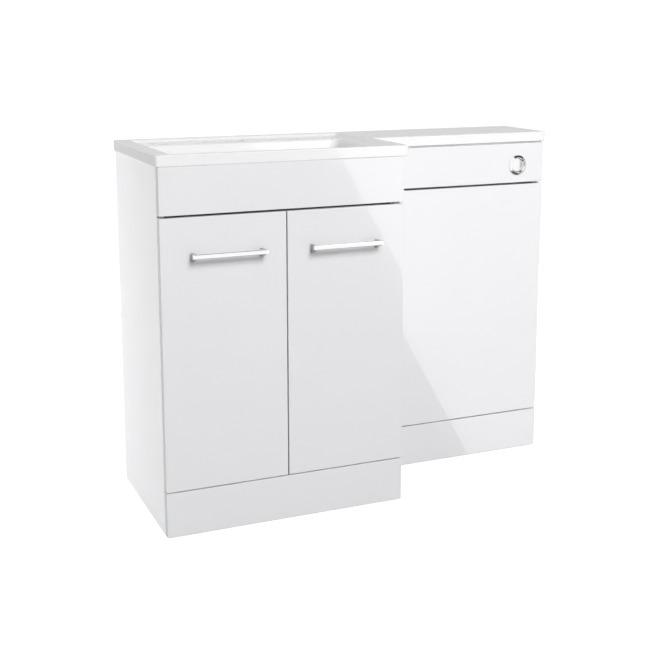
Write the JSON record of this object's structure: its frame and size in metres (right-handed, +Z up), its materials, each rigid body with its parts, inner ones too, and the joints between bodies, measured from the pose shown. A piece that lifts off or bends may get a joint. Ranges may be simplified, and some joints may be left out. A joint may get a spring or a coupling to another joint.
{
  "type": "toilet and basin combination unit",
  "caption": "Gloss white basin cupboard with hinged doors beside a shallower toilet unit with a hidden cistern and round flush button, under an L-shaped cast worktop with a rectangular bowl.",
  "frame": {"origin": "on the floor, at the middle of the width and of the depth with the handles", "axes": "+X along the width towards the toilet unit's end, +Y from the doors back to the wall, +Z up"},
  "size_m": [1.106, 0.433, 0.87],
  "materials": {
    "cast_top": "gloss white gel coat on cast mineral resin",
    "gloss_fronts": "high gloss white lacquer on board",
    "carcass_boards": "satin white melamine on board",
    "chrome_fittings": "polished",
    "steel_fittings": "nickel plated",
    "white_plastic": "moulded",
    "grey_plastic": "moulded",
    "clear_hose": "soft clear hose",
    "seal_rubber": "moulded",
    "float_plastic": "moulded"
  },
  "bodies": {
    "cabinet": {"basin_top": "cast_top", "vanity_side_left": "carcass_boards", "vanity_side_right": "carcass_boards", "vanity_base": "carcass_boards", "vanity_front_rail": "carcass_boards", "vanity_upper_rail": "carcass_boards", "vanity_lower_rail": "carcass_boards", "vanity_fascia": "gloss_fronts", "vanity_plinth": "gloss_fronts", "shelf": "carcass_boards", "shelf_pins": "steel_fittings", "vanity_cams": "steel_fittings", "hinge_plates": "steel_fittings", "hinge_arms": "steel_fittings", "arm_pins": "steel_fittings", "wc_side_left": "carcass_boards", "wc_side_right": "carcass_boards", "wc_front_rail": "carcass_boards", "wc_bottom_rail": "carcass_boards", "wc_upper_rail": "carcass_boards", "wc_middle_rail": "carcass_boards", "wc_fascia": "gloss_fronts", "wc_panel": "gloss_fronts", "wc_plinth": "gloss_fronts", "wc_cams": "steel_fittings", "glue_blocks": "carcass_boards", "clip_studs": "white_plastic", "clip_sockets": "white_plastic", "unit_bolts": "steel_fittings", "glides": "grey_plastic", "button_bezel": "chrome_fittings", "button_nut": "white_plastic", "air_chamber": "white_plastic", "air_hose": "clear_hose", "cistern_tank": "white_plastic", "cistern_lid": "white_plastic", "cistern_screws": "steel_fittings", "flush_valve": "white_plastic", "outlet_nut": "white_plastic", "flush_pipe": "white_plastic", "fill_valve": "white_plastic", "fill_nut": "white_plastic"},
    "door_left": {"door_left": "gloss_fronts", "handle_left": "chrome_fittings", "handle_screws_left": "steel_fittings", "hinge_cups_left": "steel_fittings", "cup_pins_left": "steel_fittings"},
    "door_right": {"door_right": "gloss_fronts", "handle_right": "chrome_fittings", "handle_screws_right": "steel_fittings", "hinge_cups_right": "steel_fittings", "cup_pins_right": "steel_fittings"},
    "hinge_link_left": {"hinge_link_left": "steel_fittings"},
    "hinge_link_right": {"hinge_link_right": "steel_fittings"},
    "flush_button": {"button_cap": "chrome_fittings"},
    "flush_seal": {"flush_seal": "seal_rubber"},
    "fill_float": {"fill_float": "float_plastic"}
  },
  "joints": [
    {"name": "link_left_swing", "type": "hinge", "parent": "cabinet", "child": "hinge_link_left", "pos_m": [-0.514, -0.17, 0.42125], "axis": [0, 0, 1], "range_deg": [0, 30]},
    {"name": "door_left_turn", "type": "hinge", "parent": "hinge_link_left", "child": "door_left", "pos_m": [-0.538, -0.171, 0.42125], "axis": [0, 0, -1], "range_deg": [0, 125]},
    {"name": "link_right_swing", "type": "hinge", "parent": "cabinet", "child": "hinge_link_right", "pos_m": [0.003, -0.17, 0.42125], "axis": [0, 0, -1], "range_deg": [0, 30]},
    {"name": "door_right_turn", "type": "hinge", "parent": "hinge_link_right", "child": "door_right", "pos_m": [0.027, -0.171, 0.42125], "axis": [0, 0, 1], "range_deg": [0, 125]},
    {"name": "flush_button_push", "type": "slide", "parent": "cabinet", "child": "flush_button", "axis": [0, 1, 0], "range_m": [0, 0.005], "stiffness_N_per_m": 400, "springref_m": -0.002},
    {"name": "flush_seal_lift", "type": "slide", "parent": "cabinet", "child": "flush_seal", "axis": [0, 0, 1], "range_m": [0, 0.018]},
    {"name": "fill_float_rise", "type": "slide", "parent": "cabinet", "child": "fill_float", "axis": [0, 0, 1], "range_m": [0, 0.04]}
  ],
  "couplings": [
    {"joint": "link_left_swing", "follows": "door_left_turn", "ratio": 0.24},
    {"joint": "link_right_swing", "follows": "door_right_turn", "ratio": 0.24},
    {"joint": "flush_seal_lift", "follows": "flush_button_push", "ratio": 3.6}
  ]
}
